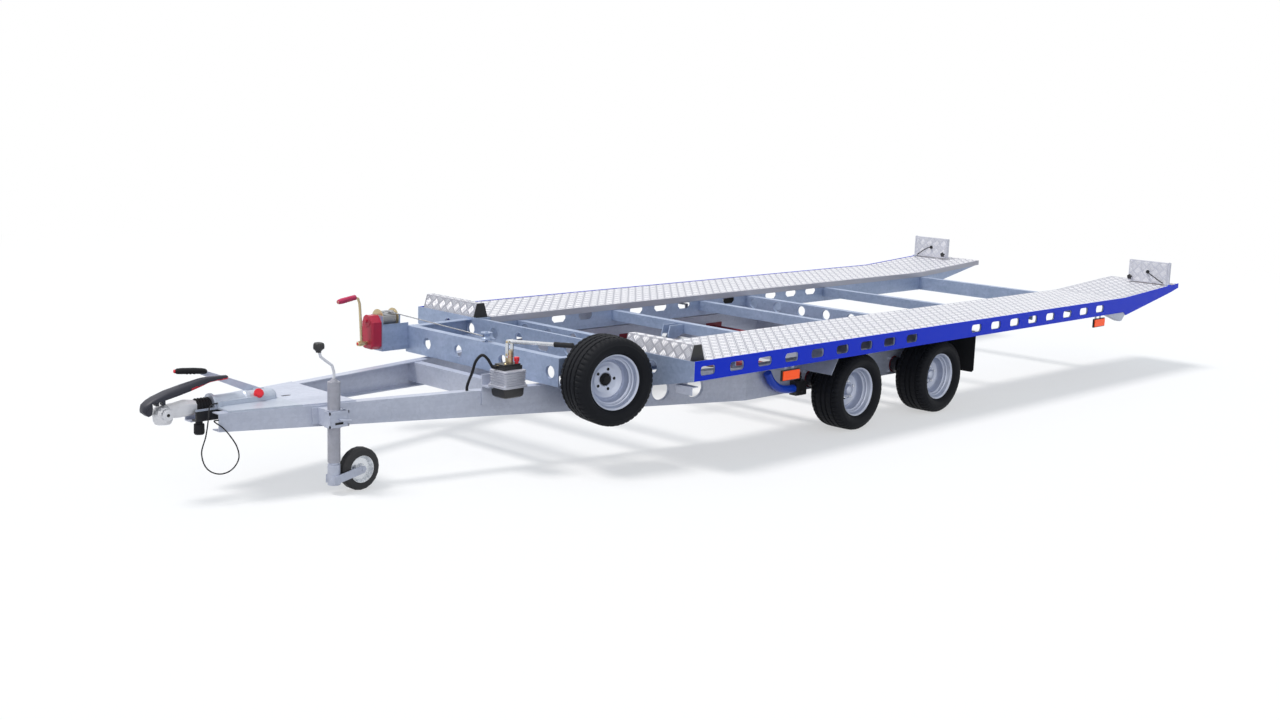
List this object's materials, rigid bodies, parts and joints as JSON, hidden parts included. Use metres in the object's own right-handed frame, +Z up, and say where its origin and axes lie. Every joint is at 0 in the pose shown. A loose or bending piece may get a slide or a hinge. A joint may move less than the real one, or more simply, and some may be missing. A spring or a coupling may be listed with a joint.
{
  "type": "car hauler trailer",
  "caption": "Low tandem-axle car trailer with a tilting bed of two tread-plate runways between slotted side rails, a tapered drawbar, winch, jockey wheel and spare wheel.",
  "frame": {"origin": "on the ground under the middle of the trailer's box", "axes": "+X forward towards the coupling, +Y to the trailer's left, +Z up"},
  "size_m": [7.451, 2.2, 0.7686],
  "materials": {
    "galvanised": "hot-dip galvanised",
    "blue_paint": "gloss",
    "tread_plate": "bright, raised bars",
    "rubber": "matte",
    "tyre": "matte",
    "rim_silver": "satin silver",
    "axle_red": "matte dark red",
    "winch_red": "gloss",
    "zinc_yellow": "yellow zinc plated",
    "black_plastic": "matte",
    "dark_grey": "satin",
    "cast_grey": "as cast, light grey",
    "steel_rope": "stranded",
    "lamp_lens": "gloss"
  },
  "bodies": {
    "chassis": {"chassis_beam_left": "galvanised", "chassis_beam_right": "galvanised", "chassis_crossmember_front": "galvanised", "chassis_crossmember_middle": "galvanised", "chassis_crossmember_rear": "galvanised", "axle_front": "axle_red", "axle_rear": "axle_red", "mudguard_left": "galvanised", "mudguard_right": "galvanised", "mudflap_left": "rubber", "mudflap_right": "rubber", "nose_plate": "galvanised", "overrun_housing": "galvanised", "overrun_bellows": "rubber", "coupling_head": "cast_grey", "coupling_handle": "dark_grey", "handbrake_lever": "galvanised", "trailer_plug": "black_plastic", "breakaway_cable": "steel_rope", "pump_tank": "cast_grey", "pump_head": "black_plastic", "pump_hose": "rubber", "spare_bracket": "galvanised", "spare_tyre": "tyre", "spare_rim": "rim_silver", "jockey_clamp": "galvanised"},
    "bed": {"side_rail_left": "blue_paint", "side_rail_right": "blue_paint", "front_crossbeam": "galvanised", "bed_ladder": "galvanised", "runway_left": "tread_plate", "runway_right": "tread_plate", "wheel_stop_left": "tread_plate", "wheel_stop_right": "tread_plate", "winch_frame": "galvanised", "winch_drum": "zinc_yellow", "winch_housing": "winch_red", "winch_crank": "zinc_yellow", "winch_rope": "steel_rope"},
    "lamp_left": {"lamp_plate_left": "tread_plate", "tail_lamp_left": "lamp_lens", "lamp_cable_left": "rubber"},
    "lamp_right": {"lamp_plate_right": "tread_plate", "tail_lamp_right": "lamp_lens", "lamp_cable_right": "rubber"},
    "wheel_front_left": {"tyre_front_left": "tyre", "rim_front_left": "rim_silver"},
    "wheel_front_right": {"tyre_front_right": "tyre", "rim_front_right": "rim_silver"},
    "wheel_rear_left": {"tyre_rear_left": "tyre", "rim_rear_left": "rim_silver"},
    "wheel_rear_right": {"tyre_rear_right": "tyre", "rim_rear_right": "rim_silver"},
    "cylinder_barrel": {"tilt_barrel": "dark_grey"},
    "cylinder_rod": {"tilt_rod": "rim_silver"},
    "jockey_post": {"jockey_tube": "galvanised"},
    "jockey_leg": {"jockey_inner": "galvanised"},
    "jockey_castor": {"jockey_fork": "galvanised"},
    "jockey_roller": {"jockey_wheel": "tyre"}
  },
  "joints": [
    {"name": "bed_tilt", "type": "hinge", "parent": "chassis", "child": "bed", "pos_m": [-1.2385, 0, 0.385], "axis": [0, -1, 0], "range_deg": [0, 12]},
    {"name": "cylinder_swing", "type": "hinge", "parent": "chassis", "child": "cylinder_barrel", "pos_m": [-0.2885, 0, 0.3], "axis": [0, -1, 0], "range_deg": [0, 25]},
    {"name": "cylinder_stroke", "type": "slide", "parent": "cylinder_barrel", "child": "cylinder_rod", "axis": [0.9816, 0, 0.1911], "range_m": [0, 0.09]},
    {"name": "wheel_spin_front_left", "type": "hinge", "parent": "chassis", "child": "wheel_front_left", "pos_m": [-0.0825, 0.897, 0.22], "axis": [0, 1, 0], "continuous": true},
    {"name": "wheel_spin_front_right", "type": "hinge", "parent": "chassis", "child": "wheel_front_right", "pos_m": [-0.0825, -0.897, 0.22], "axis": [0, 1, 0], "continuous": true},
    {"name": "wheel_spin_rear_left", "type": "hinge", "parent": "chassis", "child": "wheel_rear_left", "pos_m": [-0.8945, 0.897, 0.22], "axis": [0, 1, 0], "continuous": true},
    {"name": "wheel_spin_rear_right", "type": "hinge", "parent": "chassis", "child": "wheel_rear_right", "pos_m": [-0.8945, -0.897, 0.22], "axis": [0, 1, 0], "continuous": true},
    {"name": "jockey_clamp_slide", "type": "slide", "parent": "chassis", "child": "jockey_post", "axis": [0, 0, 1], "range_m": [0, 0.15]},
    {"name": "jockey_screw", "type": "slide", "parent": "jockey_post", "child": "jockey_leg", "axis": [0, 0, -1], "range_m": [0, 0.2]},
    {"name": "jockey_swivel", "type": "hinge", "parent": "jockey_leg", "child": "jockey_castor", "pos_m": [2.9715, 0.33048, 0.15], "axis": [0, 0, 1], "continuous": true},
    {"name": "jockey_roll", "type": "hinge", "parent": "jockey_castor", "child": "jockey_roller", "pos_m": [2.8365, 0.33048, 0.1], "axis": [0, 1, 0], "continuous": true},
    {"name": "lamp_swing_left", "type": "hinge", "parent": "bed", "child": "lamp_left", "pos_m": [-3.5885, 1.084, 0.6046], "axis": [0, 0, 1], "range_deg": [0, 90]},
    {"name": "lamp_swing_right", "type": "hinge", "parent": "bed", "child": "lamp_right", "pos_m": [-3.5885, -1.084, 0.6046], "axis": [0, 0, -1], "range_deg": [0, 90]}
  ],
  "couplings": [
    {"joint": "cylinder_swing", "follows": "bed_tilt", "ratio": 2.0525},
    {"joint": "cylinder_stroke", "follows": "bed_tilt", "m_per_rad": 0.4236}
  ]
}
